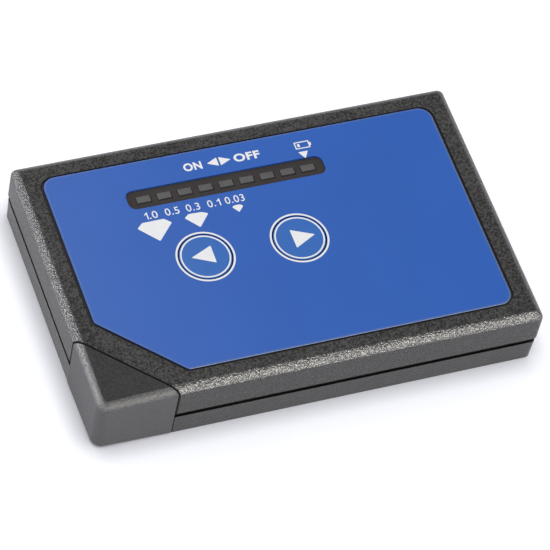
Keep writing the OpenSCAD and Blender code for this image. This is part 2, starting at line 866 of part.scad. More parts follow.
// Control chip with a row of pins along each side
module control_chip() {
    pin_w = chip_l / chip_pins / 3;
    pin_l = chip_w / 4;
    pin_z = board_top_z + chip_h / 2;
    pin_t = 2 * fit;
    pin_pitch = chip_l / chip_pins;
    color(black_colour) translate([panel_x, chip_y, 0]) {
        prism(board_top_z + fit, board_top_z + chip_h) square([chip_l, chip_w], center = true);
        for (i = [0 : chip_pins - 1], turn = [0, 180])
            rotate(turn) translate([(i - (chip_pins - 1) / 2) * pin_pitch, chip_w / 2, 0]) {
                prism(pin_z, pin_z + pin_t) square([pin_w, pin_l], center = true);
                translate([0, pin_l / 2, 0]) prism(board_top_z, pin_z + pin_t)
                    square([pin_w, pin_t], center = true);
                translate([0, pin_l * 3 / 4, 0]) prism(board_top_z, board_top_z + pin_t)
                    square([pin_w, pin_l / 2], center = true);
            }
    }
}

// Two rows of small resistors beside the chip
module chip_resistors() {
    row_x = panel_x + chip_l / 2 + resistor_l;
    color(black_colour) for (i = [0, 1], j = [-1, 0, 1])
        translate([row_x + i * resistor_pitch, chip_y + j * resistor_pitch, 0])
            prism(board_top_z, board_top_z + resistor_h) square([resistor_l, resistor_w], center = true);
}

// Buzzer under the board
module buzzer() {
    at = [panel_x + buzzer_r + board_screw_in, board_front + buzzer_r + board_head_r];
    color(black_colour) difference() {
        bar(at, buzzer_r, board_z - buzzer_h, board_z);
        bar(at, buzzer_hole_r, board_z - buzzer_h - join, board_z - buzzer_h / 2);
    }
}

// Turned nose of the probe: a cone in front, a flange behind the wall, and a stepped bore
module probe_nose() {
    color(black_colour) probe_frame() rotate_extrude() polygon([
        [tip_hole_r, nose_front_a],
        [nose_front_r, nose_front_a],
        [nose_r, -collar_l],
        [nose_r, flange_a],
        [nose_flange_r, flange_a],
        [nose_flange_r, flange_a + nose_flange_t],
        [sleeve_r + fit / 2, flange_a + nose_flange_t],
        [sleeve_r + fit / 2, tip_stop_a],
        [tip_hole_r, tip_stop_a]
    ]);
}

// Brass sleeve that guides the tip's shoulder and holds the spring
module probe_sleeve() {
    color(brass_colour) probe_frame() difference() {
        translate([0, 0, tip_stop_a + fit / 2])
            cylinder(r = sleeve_r, h = sleeve_end_a - tip_stop_a - fit / 2);
        translate([0, 0, tip_stop_a]) cylinder(r = sleeve_bore_r, h = sleeve_end_a - tip_stop_a + join);
    }
}

// Copper tip: a rounded point, a shoulder that stops it, and a rod that meets the plug at full travel
module probe_tip() {
    end_a = nose_front_a - tip_reach;
    color(copper_colour) probe_frame() rotate_extrude() intersection() {
        union() {
            polygon([
                [0, end_a + tip_point_r],
                [tip_point_r, end_a + tip_point_r],
                [tip_r, end_a + tip_taper_l],
                [tip_r, shoulder_a],
                [sleeve_bore_r - fit, shoulder_a],
                [sleeve_bore_r - fit, spring_a],
                [tip_r / 2, spring_a],
                [tip_r / 2, rod_end_a],
                [0, rod_end_a]
            ]);
            translate([0, end_a + tip_point_r]) circle(tip_point_r);
        }
        translate([0, -far]) square([far, 2 * far]);
    }
}

// Spring behind the tip's shoulder
probe_coil = coil(probe_spring_r, probe_spring_r, probe_spring_l - 2 * probe_wire_r - 2 * fit, probe_turns);
module probe_spring() {
    color(steel_colour) probe_frame() translate([0, 0, spring_a + probe_wire_r + fit])
        tube(probe_coil, probe_wire_r, coil_sides, [0, 0, 1]);
}

// Plug that closes the sleeve behind the spring
module probe_plug() {
    color(black_colour) probe_frame() {
        translate([0, 0, plug_a]) cylinder(r = sleeve_bore_r - fit / 2, h = plug_l + plug_flange_t);
        translate([0, 0, sleeve_end_a]) cylinder(r = sleeve_r, h = plug_flange_t);
    }
}

// Two leads from the plug up to the board
module probe_leads() {
    rise = board_top_z + lead_r + fit - parting_z;
    spread = lead_r + 2 * fit;
    color(copper_colour) probe_frame() for (y = [-spread, spread])
        tube(curve([
            [0, y, plug_end_a + fit],
            [0, y, plug_end_a + lead_bend],
            [-rise / 2, y, (plug_end_a + board_cut) / 2],
            [-rise, y, board_cut - lead_bend / 2],
            [-rise, y, board_cut + lead_bend],
            [-rise, y, board_cut + lead_run]
        ], lead_steps), lead_r, lead_sides, [0, 1, 0]);
}

// Two cells side by side, with their positive ends opposite ways
module battery_cells() {
    can_l = cell_l - cell_nub_l;
    color(steel_colour) for (i = [0, 1])
        translate([cell_x[i], 0, cell_z]) rotate([i == 0 ? -90 : 90, 0, 0])
            translate([0, 0, -bay_l / 2 + contact_t + contact_spring_l + fit]) {
                cylinder(r = cell_r, h = can_l);
                cylinder(r = cell_nub_r, h = cell_l);
            }
}

// Flat contact plate against an end of the bay; y is -1 at the front and 1 at the back
module contact_plate(x0, x1, y) {
    low = cell_z - contact_w / 2;
    tab_w = contact_w / 2;
    translate([x0, y > 0 ? bay_l / 2 - contact_t : -bay_l / 2, low])
        cube([x1 - x0, contact_t, bay_wall_z + contact_t - low]);
    translate([(x0 + x1 - tab_w) / 2, y > 0 ? bay_l / 2 - contact_t : -bay_l / 2 - bay_wall, bay_wall_z])
        cube([tab_w, bay_wall + contact_t, contact_t]);
}

module battery_link() {
    color(steel_colour) contact_plate(cell_x[0] - contact_w / 2, cell_x[1] + contact_w / 2, -1);
}

module positive_contact() {
    color(steel_colour) contact_plate(cell_x[0] - contact_w / 2, cell_x[0] + contact_w / 2, 1);
}

module negative_contact() {
    color(steel_colour) contact_plate(cell_x[1] - contact_w / 2, cell_x[1] + contact_w / 2, 1);
}

// Conical springs on the cells' negative ends
contact_coil = coil(
    contact_spring_r,
    contact_spring_end_r,
    contact_spring_l - 2 * contact_wire_r - fit,
    contact_turns
);
module battery_springs() {
    color(steel_colour) for (i = [0, 1])
        translate([cell_x[i], 0, cell_z]) rotate([i == 0 ? -90 : 90, 0, 0])
            translate([0, 0, -bay_l / 2 + contact_t + contact_wire_r + fit])
                tube(contact_coil, contact_wire_r, coil_sides, [0, 0, 1]);
}

// Leads from the back contacts over the bay's wall to the board
module battery_leads() {
    start_z = bay_wall_z + contact_t + lead_r + fit;
    end_z = board_top_z + lead_r + fit;
    color(copper_colour) for (i = [0, 1]) {
        y = bay_l / 2 + i * (2 * lead_r + 2 * fit);
        over_wall = [
            [cell_x[i], y, start_z],
            [cell_x[i] - lead_bend, y, start_z],
            [(cell_x[i] + bay_x) / 2, y, start_z],
            [bay_x, y, start_z]
        ];
        to_board = [
            for (p = battery_lead_route)
                [board_right + p[0], y + p[1], start_z + (end_z - start_z) * p[2]]
        ];
        tube(curve(concat(over_wall, to_board), lead_steps), lead_r, lead_sides, [0, 1, -1]);
    }
}

// Screw with its head down and a cross slot in it
module screw(at, seat_z, r, l, head_r, head_h) {
    reach = cross_share * head_r;
    translate([at[0], at[1], seat_z]) difference() {
        union() {
            translate([0, 0, -head_h]) cylinder(r = head_r, h = head_h);
            cylinder(r = r, h = l);
        }
        for (turn = [0, 90])
            rotate(turn) translate([-reach, -cross_w / 2, -head_h - join])
                cube([2 * reach, cross_w, cross_depth + join]);
    }
}

module case_screws() {
    color(steel_colour) for (at = screws_at)
        screw(at, screw_seat_z, screw_r, screw_l, screw_head_r, screw_head_h);
}

module board_screws() {
    color(steel_colour) for (at = board_screws_at)
        screw(at, board_z, board_screw_r, board_t + board_screw_l, board_head_r, board_head_h);
}

echo(str("least gap in the probe spring: ", least_gap(probe_coil, probe_wire_r)));
echo(str("least gap in the contact springs: ", least_gap(contact_coil, contact_wire_r)));

front_shell();
back_shell();
probe_cap();
front_label();
light_pipe();
circuit_board();
indicator_leds();
on_key();
on_key_face();
on_switch();
on_switch_stem();
off_key();
off_key_face();
off_switch();
off_switch_stem();
control_chip();
chip_resistors();
buzzer();
probe_nose();
probe_sleeve();
probe_tip();
probe_spring();
probe_plug();
probe_leads();
battery_cells();
battery_link();
positive_contact();
negative_contact();
battery_springs();
battery_leads();
battery_door();
case_screws();
board_screws();
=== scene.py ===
import math

import bmesh
import bpy
from mathutils import Matrix, Vector


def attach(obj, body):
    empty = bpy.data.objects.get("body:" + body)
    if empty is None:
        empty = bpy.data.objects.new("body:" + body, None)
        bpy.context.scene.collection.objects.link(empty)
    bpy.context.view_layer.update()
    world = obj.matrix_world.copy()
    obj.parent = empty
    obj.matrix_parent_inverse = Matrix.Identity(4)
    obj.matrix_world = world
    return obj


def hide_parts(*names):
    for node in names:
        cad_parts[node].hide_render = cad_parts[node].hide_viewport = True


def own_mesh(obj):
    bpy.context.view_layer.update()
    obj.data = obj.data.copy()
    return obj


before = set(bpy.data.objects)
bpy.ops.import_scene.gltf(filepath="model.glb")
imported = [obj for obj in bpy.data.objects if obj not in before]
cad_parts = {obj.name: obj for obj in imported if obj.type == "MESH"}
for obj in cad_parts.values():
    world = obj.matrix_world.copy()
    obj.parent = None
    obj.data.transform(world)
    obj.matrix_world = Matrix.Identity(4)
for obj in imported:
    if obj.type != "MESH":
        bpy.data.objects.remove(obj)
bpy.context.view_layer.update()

mm = 0.001  # pieces are drawn in millimetres and scaled once, when they are finished


def linearColour(hexText):
    parts = [int(hexText[i:i + 2], 16) / 255 for i in (0, 2, 4)]
    return [p / 12.92 if p <= 0.04045 else ((p + 0.055) / 1.055) ** 2.4 for p in parts] + [1.0]


def perMm(size):  # texture scale that gives features of that many millimetres
    return 1.0 / (size * mm)


def addNode(tree, kind, settings=None, links=None):
    node = tree.nodes.new(kind)
    for key, value in (settings or {}).items():
        if isinstance(key, int) or key in node.inputs:
            node.inputs[key].default_value = value
        else:
            setattr(node, key, value)
    for key, source in (links or {}).items():
        tree.links.new(source, node.inputs[key])
    return node


# camera at the photograph's viewing angle
cameraSet = {
    "azimuth": -29.91,
    "elevation": 53.36,
    "roll": 13.39,
    "aim": (2.439, 1.881, -0.013),
    "distance": 838.23,
    "lens": 253.03,
    "sensor": 36,
    "clipStart": 10,
}


def placeCamera(look):
    azimuth, elevation, roll = (math.radians(look[k]) for k in ("azimuth", "elevation", "roll"))
    back = Vector((
        math.sin(azimuth) * math.cos(elevation),
        -math.cos(azimuth) * math.cos(elevation),
        math.sin(elevation),
    ))
    right = (-back).cross(Vector((0, 0, 1))).normalized()
    tilted = Matrix.Rotation(roll, 3, back) @ right
    turn = Matrix((tilted, back.cross(tilted), back)).transposed().to_4x4()
    data = bpy.data.cameras.new("photoCamera")
    data.lens = look["lens"]
    data.sensor_width = look["sensor"]
    data.clip_start = look["clipStart"] * mm
    camera = bpy.data.objects.new("photoCamera", data)
    bpy.context.scene.collection.objects.link(camera)
    camera.matrix_world = Matrix.Translation((Vector(look["aim"]) + back * look["distance"]) * mm) @ turn
    bpy.context.scene.camera = camera


placeCamera(cameraSet)
bpy.context.scene.view_settings.view_transform = "Standard"
print("camera placed")

# soft boxes: direction from the object, distance and size in mm, and how bright the box looks;
# the fill sets the level of light, and the strips show in gloss alone, where they draw the case's round edges
edgeLit = bpy.data.collections.new("edgeLit")  # pieces that the strips light
studioSet = {
    "skyFill": {
        "towards": (0.1, -0.12, 0.98), "distance": 900, "size": (600, 600), "bright": 2.1, "tint": "FFFFFF",
        "matt": True, "gloss": False,
    },
    "topBox": {
        "towards": (-0.16, 0.48, 0.86), "distance": 310, "size": (200, 260), "bright": 1.1, "tint": "FFFDF8",
        "matt": True, "gloss": True,
    },
    "frontStrip": {
        "towards": (0.20, -0.90, 0.39), "distance": 704, "size": (560, 440), "bright": 12.0, "tint": "FFFAF0",
        "matt": False, "gloss": True, "only": edgeLit,
    },
    "leftStrip": {
        "towards": (-0.90, 0.28, 0.33), "distance": 620, "size": (460, 130), "bright": 19.0, "tint": "FAFBFF",
        "matt": False, "gloss": True, "only": edgeLit,
    },
}


def hangSoftBox(name, look):
    towards = Vector(look["towards"]).normalized()
    width, height = (s * mm for s in look["size"])
    data = bpy.data.lights.new(name, "AREA")
    data.shape = "RECTANGLE"
    data.size, data.size_y = width, height
    data.energy = look["bright"] * math.pi * width * height
    data.color = linearColour(look["tint"])[:3]
    box = bpy.data.objects.new(name, data)
    bpy.context.scene.collection.objects.link(box)
    box.location = towards * look["distance"] * mm
    box.rotation_euler = towards.to_track_quat("Z", "Y").to_euler()
    box.visible_camera = False
    box.visible_diffuse = look["matt"]
    box.visible_glossy = look["gloss"]
    box.light_linking.receiver_collection = look.get("only")


for name, look in studioSet.items():
    hangSoftBox(name, look)

# room light: white at the horizon and a little dimmer overhead, as in a light tent
roomSet = {"horizon": "FDFDFF", "overhead": "B0B0B4", "band": (0.05, 0.7)}


def lightRoom(look):
    world = bpy.data.worlds.new("lightTent")
    bpy.context.scene.world = world
    world.use_nodes = True
    tree = world.node_tree
    place = addNode(tree, "ShaderNodeTexCoord")
    split = addNode(tree, "ShaderNodeSeparateXYZ", links={0: place.outputs["Generated"]})
    rise = addNode(
        tree, "ShaderNodeMapRange",
        {"interpolation_type": "SMOOTHSTEP", "From Min": look["band"][0], "From Max": look["band"][1]},
        {"Value": split.outputs["Z"]},
    )
    tone = addNode(
        tree, "ShaderNodeMix",
        {"data_type": "RGBA", 6: linearColour(look["horizon"]), 7: linearColour(look["overhead"])},
        {0: rise.outputs[0]},
    )
    tree.links.new(tone.outputs[2], tree.nodes["Background"].inputs["Color"])


lightRoom(roomSet)

# white sweep under the tester: its lift shows it white to the eye and in gloss,
# and fades where the tester stands close, as a painted contact shadow
floorSet = {
    "half": 4000,
    "tone": "EEEFF4",
    "lift": 0.4,
    "lightTint": "FAFBFF",
    "shadeReach": 5.0,
    "shadeDepth": 2.0,
    "shadeSamples": 16,
}


def layFloor(look):
    shape = bmesh.new()
    bmesh.ops.create_grid(shape, x_segments=1, y_segments=1, size=look["half"] * mm)
    mesh = bpy.data.meshes.new("floor")
    shape.to_mesh(mesh)
    shape.free()
    material = bpy.data.materials.new("whitePaperMatt")
    material.use_nodes = True
    tree = material.node_tree
    tree.nodes.remove(tree.nodes["Principled BSDF"])
    paper = addNode(tree, "ShaderNodeBsdfDiffuse", {"Color": linearColour(look["tone"])})
    rays = addNode(tree, "ShaderNodeLightPath")
    clear = addNode(
        tree, "ShaderNodeAmbientOcclusion",
        {"samples": look["shadeSamples"], "Distance": look["shadeReach"] * mm},
    )
    # painted contact shadow: the glow that the camera sees dims near the tester
    fade = addNode(
        tree, "ShaderNodeMath", {"operation": "POWER", 1: look["shadeDepth"]}, {0: clear.outputs["AO"]},
    )
    seen = addNode(
        tree, "ShaderNodeMath", {"operation": "MULTIPLY"},
        {0: rays.outputs["Is Camera Ray"], 1: fade.outputs[0]},
    )
    for ray in ("Is Glossy Ray", "Is Transmission Ray"):
        seen = addNode(
            tree, "ShaderNodeMath", {"operation": "MAXIMUM"}, {0: seen.outputs[0], 1: rays.outputs[ray]},
        )
    lift = addNode(
        tree, "ShaderNodeMath", {"operation": "MULTIPLY", 1: look["lift"]}, {0: seen.outputs[0]},
    )
    glow = addNode(
        tree, "ShaderNodeEmission", {"Color": linearColour(look["lightTint"])}, {"Strength": lift.outputs[0]},
    )
    both = addNode(tree, "ShaderNodeAddShader", links={0: paper.outputs[0], 1: glow.outputs[0]})
    tree.links.new(both.outputs[0], tree.nodes["Material Output"].inputs["Surface"])
    mesh.materials.append(material)
    floor = bpy.data.objects.new("floor", mesh)
    bpy.context.scene.collection.objects.link(floor)


layFloor(floorSet)
print("studio lit")


noiseBand = (0.3, 0.7)  # most of a noise's values lie in it


# a finish with grain: two close colours, a roughness range and fine relief, all from one grain size
def grainMaterial(name, look):
    low, high = look.get("spread", noiseBand)  # a narrow spread gives grain of more contrast
    material = bpy.data.materials.new(name)
    material.use_nodes = True
    tree = material.node_tree
    shader = tree.nodes["Principled BSDF"]
    place = addNode(tree, "ShaderNodeTexCoord")
    grain = addNode(
        tree, "ShaderNodeTexNoise",
        {"Scale": perMm(look["grain"]), "Detail": 2.0, "Roughness": 0.5},
        {"Vector": place.outputs["Object"]},
    )
    patch = addNode(
        tree, "ShaderNodeTexNoise",
        {"Scale": perMm(look["patch"]), "Detail": 2.0},
        {"Vector": place.outputs["Object"]},
    )
    mixed = addNode(
        tree, "ShaderNodeMix", {"data_type": "FLOAT", 0: look.get("patchShare", 0.4)},
        {2: grain.outputs["Fac"], 3: patch.outputs["Fac"]},
    )
    level = addNode(
        tree, "ShaderNodeMapRange", {"From Min": low, "From Max": high}, {"Value": mixed.outputs[0]},
    )
    colour = addNode(
        tree, "ShaderNodeMix",
        {"data_type": "RGBA", 6: linearColour(look["low"]), 7: linearColour(look["high"])},
        {0: level.outputs[0]},
    )
    rough = addNode(
        tree, "ShaderNodeMapRange",
        {
            "From Min": noiseBand[0], "From Max": noiseBand[1],
            "To Min": look["rough"][0], "To Max": look["rough"][1],
        },
        {"Value": grain.outputs["Fac"]},
    )
    tree.links.new(colour.outputs[2], shader.inputs["Base Color"])
    tree.links.new(rough.outputs[0], shader.inputs["Roughness"])
    if look.get("relief"):
        bump = addNode(
            tree, "ShaderNodeBump", {"Strength": 1.0, "Distance": look["relief"] * mm},
            {"Height": grain.outputs["Fac"]},
        )
        tree.links.new(bump.outputs[0], shader.inputs["Normal"])
    shader.inputs["Metallic"].default_value = look.get("metal", 0.0)
    if "ior" in look:
        shader.inputs["IOR"].default_value = look["ior"]
    return material


# grain of the case's mould, and of the cap's finer one
sparkGrain = {"grain": 0.45, "patch": 9, "patchShare": 0.15, "spread": (0.4, 0.6)}
fineGrain = {"grain": 0.4, "patch": 7, "patchShare": 0.15, "spread": (0.42, 0.58)}
finishes = {
    # moulded ABS with a spark-eroded texture, on the front shell's sides: charcoal with fine glints
    "absSparkTexture": {
        "low": "161515", "high": "343332", **sparkGrain,
        "rough": (0.28, 0.42), "relief": 0.34, "ior": 1.53,
    },
    # its flat top, duller: the same grain, painted lighter than the sides to stand in for the sheen it lacks,
    # more by speckle than by sheen
    "absSparkFace": {
        "low": "2D2C2B", "high": "535251", **sparkGrain,
        "rough": (0.6, 0.72), "relief": 0.34, "ior": 1.2,
    },
    # its round edges, with a painted highlight: the same grain in a darker colour under a far stronger sheen
    # than the rest
    "absSparkEdgePaintedSheen": {
        "low": "060505", "high": "2D2C2B", **sparkGrain,
        "rough": (0.22, 0.36), "relief": 0.42, "ior": 2.0,
    },
    # the back shell's ABS, from its own mould: the same grain with a little more sheen
    "absSparkTextureLow": {
        "low": "060505", "high": "2D2C2B", **sparkGrain,
        "rough": (0.26, 0.4), "relief": 0.26, "ior": 1.6,
    },
    # the cap's ABS, from a finer mould face: its top is an even, dull satin, darker than the painted light on
    # its sides and edges
    "absFineTexture": {
        "low": "373737", "high": "434343", **fineGrain,
        "rough": (0.46, 0.56), "relief": 0.2, "ior": 1.2,
    },
    # its upright sides and front edge, painted lighter than the top and given more sheen: painted light
    "absFineSidePaintedSheen": {
        "low": "414143", "high": "4D4D4F", **fineGrain,
        "rough": (0.48, 0.58), "relief": 0.18, "ior": 1.55,
    },
    # its left edge, darker in colour under a stronger sheen still: a painted highlight
    "absFineEdgePaintedHighlight": {
        "low": "020202", "high": "100F0F", **fineGrain,
        "rough": (0.46, 0.56), "relief": 0.2, "ior": 2.05,
    },
    # the same ABS in the label's recess and at the seams, where the mould was left plain: dark and dull
    "absRecessPlain": {
        "low": "393534", "high": "44403E", "grain": 0.5, "patch": 6, "rough": (0.62, 0.72), "ior": 1.2,
    },
    # the lip round that recess, painted in shade: a bluish near black that draws the dark line at the label's
    # edge
    "absLipPaintedShade": {
        "low": "12141A", "high": "191C24", "grain": 0.5, "patch": 6, "rough": (0.5, 0.6), "ior": 1.36,
    },
    # polycarbonate film printed blue on its back: even colour under a satin face
    "polycarbonateFilmSatin": {
        "low": "1B5AB5", "high": "1F5EBA", "grain": 0.25, "patch": 22, "patchShare": 0.8,
        "rough": (0.3, 0.36), "relief": 0.004, "ior": 1.58,
    },
    # the same film on the keys, from another print run: a little lighter and greener
    "polycarbonateKeySatin": {
        "low": "2365B7", "high": "2869BC", "grain": 0.25, "patch": 22, "patchShare": 0.8,
        "rough": (0.3, 0.36), "relief": 0.004, "ior": 1.58,
    },
    # narrow margin of the film, where the print ends short of the cut: a paler, greyer blue
    "filmMarginSatin": {
        "low": "4165A7", "high": "4A6BAE", "grain": 0.5, "patch": 3, "rough": (0.3, 0.36), "ior": 1.58,
    },
    # die-cut edge of that film: clear plastic that looks pale, painted paler still as a highlight
    "filmCutPaintedHighlight": {
        "low": "9DB2DB", "high": "C8D5ED", "grain": 0.5, "patch": 3, "rough": (0.3, 0.5), "ior": 1.58,
    },
    # the same cut lower down, painted near black as the shade of its recess
    "filmCutPaintedShade": {
        "low": "0D1119", "high": "171D2A", "grain": 0.5, "patch": 3, "rough": (0.5, 0.6), "ior": 1.5,
    },
    # screen-printed ink: a plain white with a slightly uneven lay
    "screenInkWhite": {
        "low": "EDEEEE", "high": "F4F5F5", "grain": 0.25, "patch": 2.5, "rough": (0.45, 0.6), "relief": 0.004,
    },
    # smoked acrylic light posts: dark grey and smooth, with soft lights on their edges
    "smokedAcrylicPolished": {
        "low": "535252", "high": "5B5A5A", "grain": 1.5, "patch": 4, "rough": (0.36, 0.42), "ior": 1.49,
    },
    # moulded polyester key body, blue as the film on it
    "keyPlasticMoulded": {
        "low": "34579D", "high": "3A5FA8", "grain": 0.4, "patch": 4, "rough": (0.4, 0.55), "relief": 0.01,
    },
    # black glass-filled nylon: dark and dull, with a faint grain
    "blackNylonMoulded": {
        "low": "151516", "high": "222224", "grain": 0.3, "patch": 4, "rough": (0.4, 0.6), "relief": 0.015,
    },
    # green solder mask over copper tracks: glossy lacquer with a slight mottle
    "solderMaskGloss": {
        "low": "1C4A2E", "high": "2A6B42", "grain": 0.8, "patch": 2.2, "rough": (0.2, 0.35), "relief": 0.01,
    },
    # milky resin of the light chips
    "ledResinClear": {
        "low": "CFCDC0", "high": "E4E2D8", "grain": 0.4, "patch": 1.5, "rough": (0.15, 0.3), "ior": 1.5,
    },
    # turned brass with fine machining
    "brassTurned": {
        "low": "A5853F", "high": "C2A45A", "grain": 0.2, "patch": 2, "rough": (0.22, 0.36), "relief": 0.004,
        "metal": 1.0,
    },
    # polished copper with a light tarnish
    "copperPolished": {
        "low": "A9653D", "high": "C98659", "grain": 0.2, "patch": 1.2, "rough": (0.16, 0.32), "relief": 0.003,
        "metal": 1.0,
    },
    # bright nickel on steel wire, plates and screws
    "nickelPlateBright": {
        "low": "A6A8AB", "high": "C9CBCE", "grain": 0.3, "patch": 2, "rough": (0.18, 0.32), "relief": 0.004,
        "metal": 1.0,
    },
    # shrink sleeve of a plain cell: satin grey with a metallic ground
    "cellSleeveSatin": {
        "low": "7E8186", "high": "94979C", "grain": 0.4, "patch": 6, "rough": (0.28, 0.4), "relief": 0.004,
        "metal": 0.6,
    },
    # soft vinyl insulation, red and black
    "vinylInsulationRed": {
        "low": "7C1410", "high": "931B16", "grain": 0.3, "patch": 2, "rough": (0.4, 0.5), "relief": 0.006,
    },
    "vinylInsulationBlack": {
        "low": "141415", "high": "1E1E1F", "grain": 0.3, "patch": 2, "rough": (0.4, 0.5), "relief": 0.006,
    },
}
paint = {name: grainMaterial(name, look) for name, look in finishes.items()}
print("finishes:", len(paint))

# finish of each node that shows its own solid
nodeFinish = {
    "on_key": "keyPlasticMoulded",
    "off_key": "keyPlasticMoulded",
    "circuit_board": "solderMaskGloss",
    "indicator_leds": "ledResinClear",
    "on_switch": "blackNylonMoulded",
    "on_switch_stem": "blackNylonMoulded",
    "off_switch": "blackNylonMoulded",
    "off_switch_stem": "blackNylonMoulded",
    "control_chip": "blackNylonMoulded",
    "chip_resistors": "blackNylonMoulded",
    "buzzer": "blackNylonMoulded",
    "probe_nose": "blackNylonMoulded",
    "probe_plug": "blackNylonMoulded",
    "probe_sleeve": "brassTurned",
    "probe_tip": "copperPolished",
    "battery_cells": "cellSleeveSatin",
    "battery_link": "nickelPlateBright",
    "positive_contact": "nickelPlateBright",
    "negative_contact": "nickelPlateBright",
    "case_screws": "nickelPlateBright",
    "board_screws": "nickelPlateBright",
}
for node, finish in nodeFinish.items():
    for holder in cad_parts[node].material_slots:
        holder.material = paint[finish]
print("nodes finished:", len(nodeFinish))


# how meshes are cleaned and shaded: lengths in mm, turns between faces in radians
meshSet = {
    "merge": 0.002,
    "sliver": 0.0005,
    "flatTurn": math.radians(0.3),   # faces that turn less are one face
    "sharpTurn": math.radians(32),   # edges that turn less look smooth
    "roundTurn": 0.5,                # edges that turn more may be rounded
}


def finishPiece(shape, name, body, materials, replaced=(), even=False):
    shape.normal_update()
    for edge in shape.edges:
        edge.smooth = len(edge.link_faces) == 2 and edge.calc_face_angle(0) < meshSet["sharpTurn"]
    bmesh.ops.scale(shape, vec=(mm, mm, mm), verts=shape.verts)
    mesh = bpy.data.meshes.new(name)
    shape.to_mesh(mesh)
    shape.free()
    for material in materials:
        mesh.materials.append(paint[material])
    mesh.polygons.foreach_set("use_smooth", [True] * len(mesh.polygons))
    piece = bpy.data.objects.new(name, mesh)
    bpy.context.scene.collection.objects.link(piece)
    if even:  # flat faces keep flat light beside the rounds
        shading = piece.modifiers.new("evenLight", "WEIGHTED_NORMAL")
        shading.keep_sharp = True
    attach(piece, body)
    if replaced:
        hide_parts(*replaced)
    return piece


def copyNode(node):
    shape = bmesh.new()
    shape.from_mesh(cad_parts[node].data)
    bmesh.ops.scale(shape, vec=(1 / mm, 1 / mm, 1 / mm), verts=shape.verts)
    bmesh.ops.remove_doubles(shape, verts=shape.verts, dist=meshSet["merge"])
    bmesh.ops.dissolve_limit(
        shape, angle_limit=meshSet["flatTurn"], verts=shape.verts, edges=shape.edges,
    )
    return shape


def softenEdges(shape, wanted, width, steps, clamp=True):
    chosen = [
        e for e in shape.edges
        if len(e.link_faces) == 2 and e.calc_face_angle(0) > meshSet["roundTurn"] and wanted(e)
    ]
    bmesh.ops.bevel(
        shape, geom=chosen, offset=width, offset_type="OFFSET", affect="EDGES",
        segments=steps, profile=0.5, material=-1, clamp_overlap=clamp,
    )
    bmesh.ops.dissolve_degenerate(shape, dist=meshSet["sliver"], edges=shape.edges)
    return len(chosen)


# the shells, with the tiny rounds that a mould leaves along lips, rims and the seam
caseSet = {
    "half": (50, 31.75),
    "seamSum": -63.75,     # x + y along the seam's plane
    "outerBand": 0.8,      # how far in from the sides an outer edge may lie
    "faceHeight": 16,
    "skirtHeight": 7.35,
    "rimHeight": 5.85,
    "baseBand": 0.1,       # edges lower than this are underneath
    "near": 0.01,          # heights this close are the same
    "seamNear": 0.02,      # and places this close to the seam or a round are on it
    "lineDrop": 0.15,      # the shadow line is drawn this much lower, where it looks right
    "leftDrop": 0.12,      # and its lower side a little more along the left end
    "leftBand": 0.4,
    "recessHeight": 15.5,
    "filletFrom": 13.9,    # the round top edge starts at this height
    "filletRound": 2.1,
    "filletSlope": (0.2, 0.96),
    "lipSlope": 0.95,      # how upright normals are on the recess's lips, its floor and the flat top
    "floorSlope": 0.99,
    "topSlope": 0.985,
    "seamTurn": -1.3,      # and how far they turn towards the cap on the seam
    "lipRound": 0.05,
    "lipCut": 0.25,        # near lips of the label's recess are cut aslant and painted in shade, so that they show a dark line
    "recess": (45.6, 27.8),
    "rimRound": 0.05,
    "seamRound": 0.06,
    "gapInset": 0.3,       # faces further in, this far below the rim, are the dark inside of the line
    "gapDepth": 0.8,
    "backRound": 0.1,
    "steps": 2,
    "cornerRound": 2.4,    # upright corners of the solids
    "corners": {(1, -1): 1.0, (1, 1): 1.5, (-1, 1): 1.1},  # how round they are drawn, where they look right
    "inCorner": 0.001,
    "frontWall": 2.3,      # from a corner's middle, what lies further out is the outer wall
    "backWall": 1.7,
    "backStandIn": 0.2,
    "lowRounder": 0.6,     # the back shell's corners get this much rounder towards the floor
}


def edgeMiddle(edge):
    return (edge.verts[0].co + edge.verts[1].co) / 2


def atHeight(edge, height):
    return all(abs(v.co.z - height) < caseSet["near"] for v in edge.verts)


def onOutside(edge):
    middle = edgeMiddle(edge)
    reach = max(abs(middle.x) - caseSet["half"][0], abs(middle.y) - caseSet["half"][1])
    return reach > -caseSet["outerBand"]


def underneath(edge):
    return all(v.co.z < caseSet["baseBand"] for v in edge.verts)


def onSeam(edge):
    return all(abs(v.co.x + v.co.y - caseSet["seamSum"]) < caseSet["seamNear"] for v in edge.verts)


def lowerRim(shape, height, drop, leftDrop=0):
    for vert in shape.verts:
        reach = max(abs(vert.co.x) - caseSet["half"][0], abs(vert.co.y) - caseSet["half"][1])
        if abs(vert.co.z - height) < caseSet["near"] and reach > -caseSet["outerBand"]:
            onLeft = vert.co.x < -caseSet["half"][0] + caseSet["leftBand"]
            vert.co.z -= drop + (leftDrop if onLeft else 0)


def frontOuter(reach, height):
    inward = caseSet["cornerRound"] - caseSet["filletRound"]
    away = math.hypot(reach - inward, height - caseSet["filletFrom"])
    return reach > caseSet["frontWall"] or abs(away - caseSet["filletRound"]) < caseSet["seamNear"]


def backOuter(reach, height):
    return reach > caseSet["backWall"]


def sharpenCorners(shape, standIn, lowRounder, outer):
    half, rounded = caseSet["half"], caseSet["cornerRound"]
    reach = rounded - standIn
    for (sideX, sideY), wanted in caseSet["corners"].items():
        centre = Vector((sideX * (half[0] - rounded), sideY * (half[1] - rounded)))
        for vert in shape.verts:
            away = Vector(vert.co.xy) - centre
            along, over = away.x * sideX, away.y * sideY
            if min(along, over) < caseSet["inCorner"] or not outer(away.length, vert.co.z):
                continue
            radius = wanted - standIn + lowRounder * max(0, 1 - vert.co.z / caseSet["rimHeight"])
            flat = reach - radius
            most = Vector((max(along, over), min(along, over))).normalized()
            grown = reach / most.x
            if grown * most.y > flat:
                spread = flat * (most.x + most.y)
                grown = spread + math.sqrt(spread ** 2 - 2 * flat ** 2 + radius ** 2)
            vert.co.xy = centre + away * grown / reach


